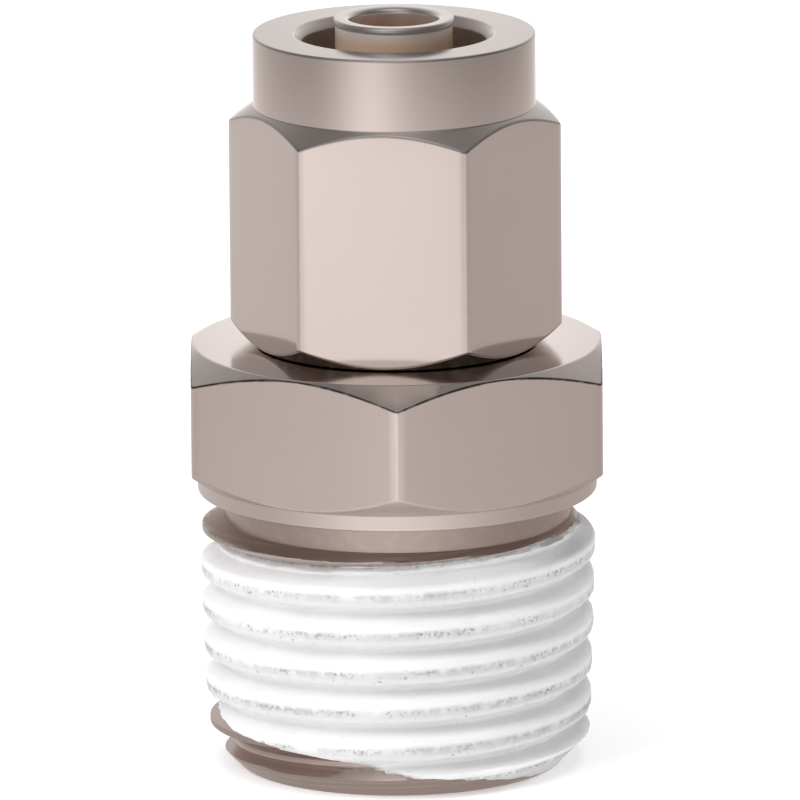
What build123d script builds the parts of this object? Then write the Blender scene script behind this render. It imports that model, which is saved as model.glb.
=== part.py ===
from build123d import *
from math import atan, ceil, cos, degrees, pi, radians, sin, tan
import os

# A push-on tube fitting: a hexagonal body with a male R 1/4 taper thread, a barbed stem that the
# tube is pushed over, and a union nut that is screwed down to clamp the tube. The frame has +Z up
# the flow axis, towards the tube, and its origin in the middle of the thread's end face. The body
# hexagon has one corner towards -Y and a pair of flats facing +X and -X. All lengths are in mm.

os.makedirs("parts", exist_ok=True)

# ---- taper thread R 1/4 (ISO 7-1) ------------------------------------------------------------
pipe_pitch = 25.4 / 19                  # nineteen threads to the inch
pipe_gauge_radius = 13.157 / 2          # crest radius at the gauge plane
pipe_gauge_height = 7.0                 # gauge plane above the end face
pipe_slope = 1 / 32                     # gain of radius per length, 1:16 on the diameter
pipe_depth = 0.856
pipe_crest_width = 0.24
pipe_flank_angle = 27.5                 # Whitworth form, 55 degrees between flanks
pipe_crest_at_x = 7.50                  # height of one crest on the +X side, which sets the phase
pipe_length = 8.50                      # from the end face to the run-out groove
end_chamfer = 0.95                      # of 45 degrees, round the end face

# ---- sealant coat on the taper thread --------------------------------------------------------
coat_on_crest = 0.08
coat_crest_width = 0.70
coat_valley_width = 0.05
coat_gap = 0.02                         # between the coat's inside and the metal
coat_bare_top = 0.50                    # length left bare below the groove, at the front
coat_top_rise = 0.05                    # gain of the coat's upper edge per length towards +X
coat_bare_end = 1.00                    # length left bare above the end face, at the front
coat_end_drop = 0.13                    # loss of the coat's lower edge per length towards +X

# ---- body ------------------------------------------------------------------------------------
groove_depth = 0.76                     # below the thread's crests
groove_width = 0.92
groove_angle = 16.0                     # of its lower side, from the end plane
land_inset = 0.09                       # of the round land that seats on the port, from the hexagon
land_height = 0.54
land_edge = 0.10
body_across_flats = 13.86               # a 14 mm wrench size, less its tolerance
body_height = 4.52                      # of the hexagon
body_end_margin = 0.09                  # between the flats and the round end faces
body_top_angle = 31.2                   # of the chamfers, from the end planes
body_bottom_angle = 36.0
port_bore_radius = 3.0                  # wide bore from the thread's end
drill_point = 59.0                      # half the angle of the drill that made it
bore_web = 1.25                         # wall between the wide bore and the stem's seat

# ---- tube that the fitting takes, and the stem that holds it ---------------------------------
tube_outside_radius = 3.0
tube_inside_radius = 2.0
stem_stretch = 0.02                     # how far a barb stretches the tube, on the radius
stem_barb_height = 0.18
stem_barb_land = 0.40
stem_barb_ramp = 0.75
stem_barb_spacing = 2.40
stem_wall = 0.35                        # round the bore, between the barbs
stem_rim_height = 0.22                  # rounded rim above the first barb
stem_proud = 0.53                       # how far the rim stands out of the nut
stem_seat_wall = 0.70                   # round the bore, in the body
stem_seat_depth = 7.0                   # how deep the stem is pressed into the neck
stem_shoulder_height = 0.35

# ---- clamp sleeve ----------------------------------------------------------------------------
sleeve_tube_gap = 0.05
sleeve_wall = 0.50
sleeve_barrel = 1.60                    # from its foot to its bevel
sleeve_gap = 0.05                       # to the nut, all round
sleeve_rim_height = 0.45
sleeve_rim_depth = 0.30
sleeve_rim_gap = 0.16                   # from the rim to the bottom of the nut's groove
sleeve_nose_land = 0.12
cone_angle = 30.0                       # of the bevel and of the nut's cone, from the axis

# ---- nut thread: M8 x 0.75 -------------------------------------------------------------------
nut_pitch = 0.75
nut_depth_per_pitch = 0.56
nut_crest_per_pitch = 0.19              # width of a crest
nut_thread_gap = 0.06                   # between the male and female threads, radially
nut_flank_angle = 30.0
neck_length = 5.20                      # above the body hexagon
neck_relief = 0.70                      # plain undercut above the hexagon
neck_chamfer = 0.35

# ---- union nut -------------------------------------------------------------------------------
nut_wall = 0.89                         # from the thread's root to the flats, so 9.80 across
nut_turned = -5.0                       # where its corners stop when it is tight, about +Z
nut_seam = 0.02                         # between the tight nut and the body
nut_foot_margin = 0.125                 # between the flats and the round lower end face
nut_foot_angle = 37.5                   # from the end plane
nut_top_angle = 36.2
nut_mouth_chamfer = 0.30
collar_inset = 0.137                    # of the round collar, from the flats
collar_height = 2.45
collar_edge = 0.16
tube_guide = 2.865                      # tube bore above the cone
tube_guide_gap = 0.10
tube_mouth_chamfer = 0.29

# ---- heights and radii worked out from these -------------------------------------------------
end_radius = pipe_gauge_radius - pipe_gauge_height * pipe_slope - end_chamfer
groove_radius = pipe_gauge_radius + (pipe_length - pipe_gauge_height) * pipe_slope - groove_depth
land_bottom = pipe_length + groove_width
body_bottom = land_bottom + land_height
body_top = body_bottom + body_height
body_end_radius = body_across_flats / 2 - body_end_margin
land_radius = body_end_radius - land_inset
neck_top = body_top + neck_length

stem_barb_radius = tube_inside_radius + stem_stretch
stem_neck_radius = stem_barb_radius - stem_barb_height
stem_bore_radius = stem_neck_radius - stem_wall
stem_seat_radius = stem_bore_radius + stem_seat_wall
stem_seat_bottom = neck_top - stem_seat_depth

sleeve_bore_radius = tube_outside_radius + sleeve_tube_gap
sleeve_radius = sleeve_bore_radius + sleeve_wall
sleeve_rim_radius = sleeve_radius + sleeve_rim_depth
sleeve_foot = neck_top + sleeve_gap
cone_slope = tan(radians(cone_angle))   # loss of radius per length
bevel_bottom = sleeve_foot + sleeve_barrel
bevel_top = bevel_bottom + (sleeve_wall - sleeve_nose_land) / cone_slope

nut_chamber_radius = sleeve_radius + sleeve_gap
nut_root_radius = sleeve_rim_radius + sleeve_rim_gap
nut_thread_depth = nut_pitch * nut_depth_per_pitch
nut_crest_width = nut_pitch * nut_crest_per_pitch
nut_crest_radius = nut_root_radius - nut_thread_depth
neck_crest_radius = nut_root_radius - nut_thread_gap
neck_root_radius = nut_crest_radius - nut_thread_gap
neck_thread_bottom = body_top + neck_relief
nut_flat_radius = nut_root_radius + nut_wall
nut_foot_radius = nut_flat_radius - nut_foot_margin
collar_radius = nut_flat_radius - collar_inset
tube_guide_radius = tube_outside_radius + tube_guide_gap
nut_bottom = body_top + nut_seam
nut_cone_bottom = bevel_bottom + sleeve_gap
nut_cone_top = nut_cone_bottom + (nut_chamber_radius - tube_guide_radius) / cone_slope
nut_top = nut_cone_top + tube_guide
collar_bottom = nut_top - collar_height
stem_top = nut_top + stem_proud

rooted = 0.04                           # how deep one solid is sunk in another before they are joined
cleared = 1.0                           # how far a cut or a trim runs past what it trims
seam = radians(37)                      # turned faces start here, away from the threads' starts
seam_plane = Plane((0, 0, 0), x_dir=(cos(seam), sin(seam), 0), z_dir=(sin(seam), -cos(seam), 0))


def pipe_radius(height):
    """Crest radius of the taper thread at a height above the end face."""
    return pipe_gauge_radius + (height - pipe_gauge_height) * pipe_slope


def turned(points):
    """A solid of revolution about Z from a closed outline of (radius, height) points."""
    with BuildPart() as blank:
        with BuildSketch(seam_plane):
            with BuildLine():
                Polyline(*points, close=True)
            make_face()
        revolve(axis=Axis.Z)
    return blank.part


def helical_ridge(root, crest, crest_width, flank_angle, pitch, passes, low, high, slope=0.0):
    """A helical ridge of trapezoidal section from below low to above high, one solid to a turn.

    Each section that starts a turn lies in the +X half plane, at a whole number of pitches from
    the height passes. root and crest are the radii at height zero, and both grow by slope per
    length of Z. A crest below the root makes a ridge that points inwards.
    """
    root_width = crest_width + 2 * abs(crest - root) * tan(radians(flank_angle))
    first = passes - ceil((passes - low) / pitch + 1) * pitch
    coils = []
    for turn in range(ceil((high - first) / pitch) + 1):
        middle = first + turn * pitch
        gain = middle * slope
        with BuildPart() as coil:
            with BuildLine() as path:
                Helix(pitch, pitch, root + gain, center=(0, 0, middle), cone_angle=degrees(atan(slope)))
            with BuildSketch(Plane.XZ) as section:
                with BuildLine():
                    Polyline(
                        (root + gain, middle - root_width / 2),
                        (crest + gain, middle - crest_width / 2),
                        (crest + gain, middle + crest_width / 2),
                        (root + gain, middle + root_width / 2),
                        close=True,
                    )
                make_face()
            sweep(section.sketch, path=path.wire(), is_frenet=True)
        coils.append(coil.part)
    return coils


def taper_thread(crest_gain, crest_width, depth):
    """The taper thread as a solid that runs past the end face and past the run-out groove.

    crest_gain is how far its crests stand outside the bare metal's, and depth is its ridges'.
    """
    low = -cleared
    high = pipe_length + cleared
    crest = pipe_radius(0) + crest_gain
    with BuildPart() as threaded:
        add(turned([
            (0, low),
            (pipe_radius(low) + crest_gain - depth, low),
            (pipe_radius(high) + crest_gain - depth, high),
            (0, high),
        ]))
        add(helical_ridge(
            crest - depth - rooted, crest, crest_width, pipe_flank_angle,
            pipe_pitch, pipe_crest_at_x, 0, pipe_length, pipe_slope,
        ))
    return threaded.part


def chamfered_hexagon(across_flats, low, high, low_radius, low_angle, high_radius, high_angle):
    """A hexagonal prism, one corner to -Y, with both ends turned down by a cone.

    The radii are those of the flat circles left on the ends. The angles are from the end planes.
    """
    reach = across_flats / 2 / cos(pi / 6) + rooted
    with BuildPart() as hexagon:
        with BuildSketch(Plane.XY.offset(low)):
            RegularPolygon(across_flats / 2, 6, major_radius=False, rotation=30)
        extrude(amount=high - low)
        with BuildSketch(Plane.XZ):
            with BuildLine():
                Polyline(
                    (0, low),
                    (low_radius, low),
                    (reach, low + (reach - low_radius) * tan(radians(low_angle))),
                    (reach, high - (reach - high_radius) * tan(radians(high_angle))),
                    (high_radius, high),
                    (0, high),
                    close=True,
                )
            make_face()
        revolve(axis=Axis.Z, mode=Mode.INTERSECT)
    return hexagon.part


# ---- fitting body: hexagon, land, taper thread and the neck for the nut ----------------------
pipe_reach = pipe_radius(pipe_length) + coat_on_crest + rooted
pipe_envelope = turned([
    (0, 0),
    (end_radius, 0),
    (pipe_reach, pipe_reach - end_radius),
    (pipe_reach, pipe_length - (pipe_reach - groove_radius) * tan(radians(groove_angle))),
    (groove_radius, pipe_length),
    (0, pipe_length),
])
with BuildPart() as threaded_end:
    add(taper_thread(0, pipe_crest_width, pipe_depth))
    add(pipe_envelope, mode=Mode.INTERSECT)

neck_flank = tan(radians(nut_flank_angle))
neck_reach = neck_crest_radius + rooted
with BuildPart() as neck:
    add(turned([
        (0, body_top - rooted),
        (neck_root_radius, body_top - rooted),
        (neck_root_radius, neck_top + cleared),
        (0, neck_top + cleared),
    ]))
    add(helical_ridge(
        neck_root_radius - rooted, neck_crest_radius, nut_crest_width, nut_flank_angle,
        nut_pitch, neck_top - nut_pitch / 2, neck_thread_bottom, neck_top,
    ))
    add(turned([
        (0, body_top - rooted),
        (neck_root_radius, body_top - rooted),
        (neck_root_radius, neck_thread_bottom - (neck_reach - neck_root_radius) * neck_flank),
        (neck_reach, neck_thread_bottom),
        (neck_reach, neck_top - neck_chamfer - rooted),
        (neck_crest_radius - neck_chamfer, neck_top),
        (0, neck_top),
    ]), mode=Mode.INTERSECT)

port_cone_height = (port_bore_radius - stem_bore_radius) / tan(radians(drill_point))
port_bore_depth = stem_seat_bottom - bore_web - port_cone_height
with BuildPart() as fitting_body:
    add(chamfered_hexagon(
        body_across_flats, body_bottom, body_top,
        body_end_radius, body_bottom_angle, body_end_radius, body_top_angle,
    ))
    add(turned([
        (0, pipe_length - rooted),
        (groove_radius, pipe_length - rooted),
        (groove_radius, land_bottom),
        (land_radius - land_edge, land_bottom),
        (land_radius, land_bottom + land_edge),
        (land_radius, body_bottom + rooted),
        (0, body_bottom + rooted),
    ]))
    add(threaded_end.part)
    add(neck.part)
    add(turned([
        (0, -cleared),
        (port_bore_radius, -cleared),
        (port_bore_radius, port_bore_depth),
        (stem_bore_radius, port_bore_depth + port_cone_height),
        (stem_bore_radius, stem_seat_bottom),
        (stem_seat_radius, stem_seat_bottom),
        (stem_seat_radius, neck_top + cleared),
        (0, neck_top + cleared),
    ]), mode=Mode.SUBTRACT)
fitting_body.part.label = "fitting_body"
export_step(fitting_body.part, "parts/fitting_body.step")

# ---- thread sealant: a coat that fills the thread's valleys, with two slanted ends ----------
pipe_flank = tan(radians(pipe_flank_angle))
coat_depth = (pipe_pitch - coat_crest_width - coat_valley_width) / 2 / pipe_flank
coat_top = pipe_length - coat_bare_top
coat_reach = 2 * pipe_reach
with BuildPart() as thread_sealant:
    add(taper_thread(coat_on_crest, coat_crest_width, coat_depth))
    add(taper_thread(coat_gap, pipe_crest_width + 2 * coat_gap, pipe_depth), mode=Mode.SUBTRACT)
    with BuildSketch(Plane.XZ):
        with BuildLine():
            Polyline(
                (-coat_reach, coat_bare_end + coat_reach * coat_end_drop),
                (coat_reach, coat_bare_end - coat_reach * coat_end_drop),
                (coat_reach, coat_top + coat_reach * coat_top_rise),
                (-coat_reach, coat_top - coat_reach * coat_top_rise),
                close=True,
            )
        make_face()
    extrude(amount=coat_reach, both=True, mode=Mode.INTERSECT)
    add(pipe_envelope, mode=Mode.INTERSECT)
thread_sealant.part.label = "thread_sealant"
export_step(thread_sealant.part, "parts/thread_sealant.step")

# ---- tube stem: a barbed spigot pressed into the neck ----------------------------------------
first_barb_top = stem_top - stem_rim_height
second_barb_top = first_barb_top - stem_barb_spacing
with BuildPart() as tube_stem:
    add(turned([
        (stem_bore_radius, stem_seat_bottom),
        (stem_seat_radius, stem_seat_bottom),
        (stem_seat_radius, neck_top + stem_shoulder_height),
        (stem_neck_radius, neck_top + stem_shoulder_height + stem_seat_radius - stem_neck_radius),
        (stem_neck_radius, second_barb_top - stem_barb_land),
        (stem_barb_radius, second_barb_top - stem_barb_land),
        (stem_neck_radius, second_barb_top - stem_barb_land + stem_barb_ramp),
        (stem_neck_radius, first_barb_top - stem_barb_land - stem_barb_height),
        (stem_barb_radius, first_barb_top - stem_barb_land),
        (stem_barb_radius, stem_top),
        (stem_bore_radius, stem_top),
    ]))
    rim_edges = tube_stem.edges().group_by(Axis.Z)[-1]
    fillet(rim_edges, min(stem_rim_height, 0.4 * (stem_barb_radius - stem_bore_radius)))
tube_stem.part.label = "tube_stem"
export_step(tube_stem.part, "parts/tube_stem.step")

# ---- union nut: hexagon and collar outside; thread, chamber, cone and tube bore inside -------
nut_thread_top = neck_top                # the groove for the sleeve's rim starts here
nut_trim_radius = nut_root_radius + 2 * rooted
nut_ridge_rise = (nut_trim_radius - nut_crest_radius + rooted) * neck_flank
with BuildPart() as nut_thread:
    add(helical_ridge(
        nut_root_radius + rooted, nut_crest_radius, nut_crest_width, nut_flank_angle,
        nut_pitch, neck_top, nut_bottom, nut_thread_top,
    ))
    add(turned([
        (nut_trim_radius, nut_bottom + rooted),
        (nut_crest_radius - rooted, nut_bottom + rooted + nut_ridge_rise),
        (nut_crest_radius - rooted, nut_thread_top),
        (nut_trim_radius, nut_thread_top),
    ]), mode=Mode.INTERSECT)

rim_groove_top = sleeve_foot + sleeve_rim_height + sleeve_gap
with BuildPart() as union_nut:
    add(chamfered_hexagon(
        2 * nut_flat_radius, nut_bottom, collar_bottom,
        nut_foot_radius, nut_foot_angle, collar_radius, nut_top_angle,
    ), rotation=(0, 0, 30 + nut_turned))
    add(turned([
        (0, collar_bottom - rooted),
        (collar_radius, collar_bottom - rooted),
        (collar_radius, nut_top - collar_edge),
        (collar_radius - collar_edge, nut_top),
        (0, nut_top),
    ]))
    add(turned([
        (0, nut_bottom - cleared),
        (nut_root_radius + nut_mouth_chamfer + cleared, nut_bottom - cleared),
        (nut_root_radius, nut_bottom + nut_mouth_chamfer),
        (nut_root_radius, rim_groove_top),
        (nut_chamber_radius, rim_groove_top),
        (nut_chamber_radius, nut_cone_bottom),
        (tube_guide_radius, nut_cone_top),
        (tube_guide_radius, nut_top - tube_mouth_chamfer),
        (tube_guide_radius + tube_mouth_chamfer + cleared, nut_top + cleared),
        (0, nut_top + cleared),
    ]), mode=Mode.SUBTRACT)
    add(nut_thread.part)
union_nut.part.label = "union_nut"
export_step(union_nut.part, "parts/union_nut.step")

# ---- clamp sleeve: closed on the tube by the nut's cone, held in the nut by its rim ---------
with BuildPart() as clamp_sleeve:
    add(turned([
        (sleeve_bore_radius, sleeve_foot),
        (sleeve_rim_radius, sleeve_foot),
        (sleeve_rim_radius, sleeve_foot + sleeve_rim_height),
        (sleeve_radius, sleeve_foot + sleeve_rim_height),
        (sleeve_radius, bevel_bottom),
        (sleeve_bore_radius + sleeve_nose_land, bevel_top),
        (sleeve_bore_radius, bevel_top),
    ]))
clamp_sleeve.part.label = "clamp_sleeve"
export_step(clamp_sleeve.part, "parts/clamp_sleeve.step")
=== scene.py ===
# %% [markdown]
# # A push-on tube fitting in nickel-plated brass
# A plastic tube is pushed over the little barbed stem in the middle, and the union nut is screwed
# down to clamp it. Below the nut sits the hexagonal body, and below that the taper thread, which
# comes with a white coat of sealant on it. Nearly every piece was turned on a lathe from bar, so
# nearly every piece here is a section carried round the upright axis.
# The solid model is loaded first. Its pieces have the right sizes but faceted skins, so each one is
# replaced by a smooth skin of the same size.

# %% Load the solid model
from math import ceil, cos, floor, pi, radians, sin, tan

import bmesh
import bpy
import numpy as np
from mathutils import Matrix, Vector


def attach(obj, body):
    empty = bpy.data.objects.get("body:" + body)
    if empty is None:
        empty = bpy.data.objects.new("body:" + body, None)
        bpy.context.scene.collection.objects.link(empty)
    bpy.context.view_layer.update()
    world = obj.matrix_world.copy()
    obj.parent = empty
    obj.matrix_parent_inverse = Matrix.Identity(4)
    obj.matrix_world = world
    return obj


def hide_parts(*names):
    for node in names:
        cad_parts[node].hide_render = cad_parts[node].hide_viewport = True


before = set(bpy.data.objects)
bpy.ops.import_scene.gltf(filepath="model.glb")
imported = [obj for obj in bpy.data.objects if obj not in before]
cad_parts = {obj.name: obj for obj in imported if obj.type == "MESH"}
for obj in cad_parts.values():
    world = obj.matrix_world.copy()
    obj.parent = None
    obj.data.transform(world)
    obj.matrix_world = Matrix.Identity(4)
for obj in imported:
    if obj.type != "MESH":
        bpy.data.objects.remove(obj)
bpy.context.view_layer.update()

mm = 0.001

# %% [markdown]
# ## Sizes
# These are the sizes of the solid model, in millimetres, with heights above the thread's end face.
# They are written once here, and every skin below is worked out from them.

# %% Sizes of the body and its taper thread
pipe_pitch = 25.4 / 19
pipe_gauge_radius = 13.157 / 2
pipe_gauge_height = 7.0
pipe_slope = 1 / 32
pipe_depth = 0.856
pipe_crest_width = 0.24
pipe_flank = tan(radians(27.5))
pipe_crest_at_x = 7.50
pipe_length = 8.50
end_chamfer = 0.95
groove_depth = 0.76
groove_slope = tan(radians(16.0))
land_bottom = pipe_length + 0.92
body_bottom = land_bottom + 0.54
body_top = body_bottom + 4.52
body_across_flats = 13.86
body_end_radius = body_across_flats / 2 - 0.09
body_top_slope = tan(radians(31.2))
body_bottom_slope = tan(radians(36.0))
land_radius = body_end_radius - 0.09
port_bore_radius = 3.0
body_corner_round = 0.13
body_crown = 0.03
print("hexagon from", round(body_bottom, 2), "to", round(body_top, 2), "mm")

# %% Sizes of the sealant coat
coat_on_crest = 0.08
coat_crest_width = 0.60
coat_valley_width = 0.10
coat_top = pipe_length - 0.38
coat_top_rise = 0.05
coat_end = 0.82
coat_end_drop = 0.155
coat_wall = 0.03
print("coat from", coat_end, "to", round(coat_top, 2), "mm")

# %% Sizes of the stem, the sleeve and the nut
neck_top = body_top + 5.20
nut_pitch = 0.75
nut_depth = 0.42
nut_crest_width = 0.14
nut_flank = tan(radians(30.0))
nut_root_radius = 4.01
neck_crest_radius = nut_root_radius - 0.06
nut_crest_radius = nut_root_radius - nut_depth
neck_root_radius = nut_crest_radius - 0.06
neck_relief = 0.70
nut_bottom = body_top + 0.02
nut_flat_radius = 4.90
nut_corner_round = 0.10
nut_crown = 0.02
nut_foot_radius = nut_flat_radius - 0.125
nut_foot_slope = tan(radians(37.5))
nut_top_slope = tan(radians(36.2))
nut_turned = radians(25.0)
collar_radius = nut_flat_radius - 0.137
sleeve_foot = neck_top + 0.05
bevel_bottom = sleeve_foot + 1.60
bevel_top = bevel_bottom + 0.38 / tan(radians(30.0))
cone_bottom = bevel_bottom + 0.05
cone_top = cone_bottom + 0.50 / tan(radians(30.0))
nut_top = cone_top + 2.865
collar_bottom = nut_top - 2.45
tube_guide_radius = 3.10
tube_mouth = 0.29
stem_bore_radius = 1.49
stem_neck_radius = 1.84
stem_barb_radius = 2.02
stem_seat_radius = 2.19
stem_seat_bottom = neck_top - 7.0
stem_top = nut_top + 0.53
print("nut top at", round(nut_top, 2), "mm, stem top at", round(stem_top, 2), "mm")

# %% [markdown]
# ## From a section to a skin
# A machined edge is never quite sharp: it has a tiny round that catches the light, and without it
# metal looks like cut paper. A bevel modifier could make it, but here the section itself is
# softened, so that each corner becomes a short curve. One more point on each side of the curve
# keeps the flat runs shaded flat. The same step notes how close each point is to an edge, and the
# metal finishes use that later for the bright, rubbed look that real edges have.

# %% Soften the corners of a section
def softened(section, width, steps=4):
    """A section with its inner corners rounded, and how close each of its points is to an edge.

    The section is an array (..., points, 2). A corner becomes a quadratic curve from a point that
    lies width before it to one that lies width after it, or 0.4 of the shorter run if that is less.
    """
    corner = section[..., 1:-1, :]
    back = section[..., :-2, :] - corner
    ahead = section[..., 2:, :] - corner
    back_length = np.linalg.norm(back, axis=-1, keepdims=True) + 1e-9
    ahead_length = np.linalg.norm(ahead, axis=-1, keepdims=True) + 1e-9
    width = np.broadcast_to(np.asarray(width, float), corner.shape[:-1])[..., None]
    reach = np.minimum(width, 0.4 * np.minimum(back_length, ahead_length))
    start = corner + back / back_length * reach
    end = corner + ahead / ahead_length * reach
    t = np.linspace(0, 1, steps + 1)[:, None]
    curve = (
        (1 - t) ** 2 * start[..., None, :]
        + 2 * t * (1 - t) * corner[..., None, :]
        + t**2 * end[..., None, :]
    )
    hold = 0.2 * reach
    before = (start + back / back_length * hold)[..., None, :]
    after = (end + ahead / ahead_length * hold)[..., None, :]
    block = np.concatenate([before, curve, after], axis=-2)
    count = block.shape[-3] * block.shape[-2]
    points = np.concatenate(
        [section[..., :1, :], block.reshape(*block.shape[:-3], count, 2), section[..., -1:, :]],
        axis=-2,
    )
    rise = np.concatenate([[0], np.sin(pi * t[:, 0]), [0]])
    edge = np.concatenate([[0], np.tile(rise, corner.shape[-2]), [0]])
    return points, np.broadcast_to(edge, points.shape[:-1])


square_corner = np.array([(1.0, 0.0), (1.0, 1.0), (0.0, 1.0)])
print("a square corner becomes", len(softened(square_corner, 0.1)[0]), "points")

# %% [markdown]
# A turned piece is its section swept round the upright axis. Blender's Screw modifier could sweep
# it, but worked out here as one array, the section may differ from one direction to the next, and
# that is what a hexagon needs.

# %% Carry a section round the axis
around = np.linspace(0, 2 * pi, 240, endpoint=False)


def carried(section, edge, angles):
    """Points of a skin, one row for each point of the section and one column for each angle.

    A point at radius r and height z lands at (r cos a, r sin a, z). The section may be one array
    (points, 2), or one for each angle, (angles, points, 2).
    """
    section = np.broadcast_to(section, (len(angles), *section.shape[-2:]))
    edge = np.broadcast_to(edge, section.shape[:2])
    r, z = section[..., 0].T, section[..., 1].T
    return np.stack([r * np.cos(angles), r * np.sin(angles), z], axis=-1), edge.T


print("carried, it is a grid of", carried(square_corner, np.zeros(3), around)[0].shape[:2], "points")

# %% [markdown]
# Some pieces are made of several grids, such as a thread and the bore inside it. They are joined
# into one mesh, and where two grids meet their points are merged. Values that a finish needs later,
# such as how close a point lies to an edge, are kept on the points themselves.

# %% Join skins into one piece
def placed(name, data):
    """A new object in the scene."""
    item = bpy.data.objects.new(name, data)
    bpy.context.scene.collection.objects.link(item)
    return item


same_point = 0.0002


def make_piece(name, skins, body, node, slot, sharp=40, **paint):
    """One mesh object from several grids of points, riding on a body in the place of a CAD node.

    Each skin is (points, edge, wraps), where wraps says that its last column joins its first. Four
    neighbouring points make a face, points that coincide are merged, and edge is kept on the points
    for the finishes. paint holds more values to keep, one array of each name for every skin.
    """
    corners = []
    faces = []
    first = 0
    for points, _, wraps in skins:
        rows, columns = points.shape[:2]
        index = np.arange(rows * columns).reshape(rows, columns) + first
        if wraps:
            index = np.concatenate([index, index[:, :1]], axis=1)
        quads = [index[:-1, :-1], index[:-1, 1:], index[1:, 1:], index[1:, :-1]]
        faces.append(np.stack(quads, axis=-1).reshape(-1, 4))
        corners.append(points.reshape(-1, 3) * mm)
        first += rows * columns
    mesh = bpy.data.meshes.new(name)
    mesh.from_pydata(np.concatenate(corners), [], np.concatenate(faces))
    paint = {"edge": [skin[1] for skin in skins], **paint}
    for key, arrays in paint.items():
        layer = mesh.attributes.new(key, "FLOAT", "POINT")
        values = np.concatenate([array.ravel() for array in arrays])
        layer.data.foreach_set("value", values.astype(np.float32))
    work = bmesh.new()
    work.from_mesh(mesh)
    bmesh.ops.remove_doubles(work, verts=work.verts, dist=same_point * mm)
    bmesh.ops.dissolve_degenerate(work, edges=work.edges, dist=same_point / 4 * mm)
    work.to_mesh(mesh)
    work.free()
    mesh.shade_smooth()
    mesh.set_sharp_from_angle(angle=radians(sharp))
    piece = placed(name, mesh)
    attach(piece, body)
    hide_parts(node)
    print(name, len(mesh.polygons), "faces")
    return piece


print("points within", same_point, "mm are merged")

# %% [markdown]
# ## Hexagons
# Both hexagons are cut from hexagonal bar, and then their ends are turned down on the lathe. Where
# the turned cone meets a flat it leaves the curved line that every nut shows. Carried as sections,
# this comes by itself: in each direction the section goes along the cone until it reaches the bar's
# own radius in that direction, and then straight along the flat.

# %% Radius of a hexagonal bar in every direction
corner_steps = 7


def hexagonal_bar(flat_radius, corner_round, turned_by, crown, per_flat=34):
    """Angles and radii once round a hexagon whose corners are slightly rounded.

    One flat is the points (flat_radius - crown (t / half)^6, t), because polishing takes a little
    more near the corners. A corner is a quadratic curve to the next flat, and the sixth is turned
    six times by 60 degrees.
    """
    half = flat_radius * tan(pi / 6)
    t = np.linspace(-half + 1.1 * corner_round, half - 1.1 * corner_round, per_flat)
    flat = np.stack([flat_radius - crown * (t / half) ** 6, t], axis=-1)
    turn = np.array([[cos(pi / 3), -sin(pi / 3)], [sin(pi / 3), cos(pi / 3)]])
    start = np.array([flat_radius - crown, half - corner_round])
    corner = np.array([flat_radius - crown, half - crown / tan(pi / 3)])
    end = turn @ np.array([flat_radius - crown, corner_round - half])
    s = np.linspace(0, 1, corner_steps)[:, None]
    curve = (1 - s) ** 2 * start + 2 * s * (1 - s) * corner + s**2 * end
    sixth = np.concatenate([flat, curve])
    angle = np.arctan2(sixth[:, 1], sixth[:, 0])
    radius = np.linalg.norm(sixth, axis=1)
    near = np.concatenate([np.zeros(per_flat), np.sin(pi * s[:, 0])])
    turns = np.arange(6)[:, None] * pi / 3 + turned_by
    return (angle + turns).ravel(), np.tile(radius, 6), np.tile(near, 6)


def hexagon_sections(radius, low, high, foot, foot_slope, top, top_slope, inside_low, inside_high):
    """One section for each direction: from inside out to the foot, up cone, flat and cone, and in.

    The lower cone starts at the radius foot and the height low, and rises by foot_slope for each
    millimetre outwards until it reaches the bar. The upper cone is the same from top and high down.
    """
    flat_low = low + (radius - foot) * foot_slope
    flat_high = high - (radius - top) * top_slope
    count = len(radius)
    outside = np.stack([
        np.stack([np.full(count, foot), np.full(count, low)], axis=-1),
        np.stack([radius, flat_low], axis=-1),
        np.stack([radius, flat_high], axis=-1),
        np.stack([np.full(count, top), np.full(count, high)], axis=-1),
    ], axis=1)
    start = np.broadcast_to(np.array(inside_low, float), (count, len(inside_low), 2))
    end = np.broadcast_to(np.array(inside_high, float), (count, len(inside_high), 2))
    return np.concatenate([start, outside, end], axis=1)


trial = hexagonal_bar(1.0, 0.02, 0.0, 0.0)[1]
print("a bar 2 mm across its flats is", round(2 * trial.max(), 2), "mm across its corners")

# %% [markdown]
# ## Threads
# A thread is one small section carried along a helix. Its rows climb by one pitch each turn, so the
# rows follow the crests and valleys exactly, and the last column of one turn meets the first column
# of the next. Past the ends of the thread the rows are held at the end's height, where they fall
# together and are merged.

# %% Form and rows of a thread
held = 1e-6


def thread_form(pitch, crest_width, depth, flank, round_width, per_flank=5):
    """Heights and depths of one pitch of thread, from the middle of a crest to the next one."""
    foot = crest_width / 2 + depth * flank
    corners = np.array([
        (0, 0), (crest_width / 2, 0), (foot, depth),
        (pitch - foot, depth), (pitch - crest_width / 2, 0), (pitch, 0),
    ])
    form, edge = softened(corners, round_width, steps=3)
    extra = []
    for a, b in ((1, 2), (3, 4)):
        share = np.linspace(0.2, 0.8, per_flank)[:, None]
        extra.append(corners[a] + (corners[b] - corners[a]) * share)
    heights = np.concatenate([form[:, 0], *[points[:, 0] for points in extra]])
    depths = np.interp(heights, form[:, 0], form[:, 1])
    edges = np.interp(heights, form[:, 0], edge)
    order = np.argsort(heights)
    keep = np.concatenate([[True], np.diff(heights[order]) > 1e-4])
    order = order[keep]
    return heights[order], depths[order], edges[order]


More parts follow.
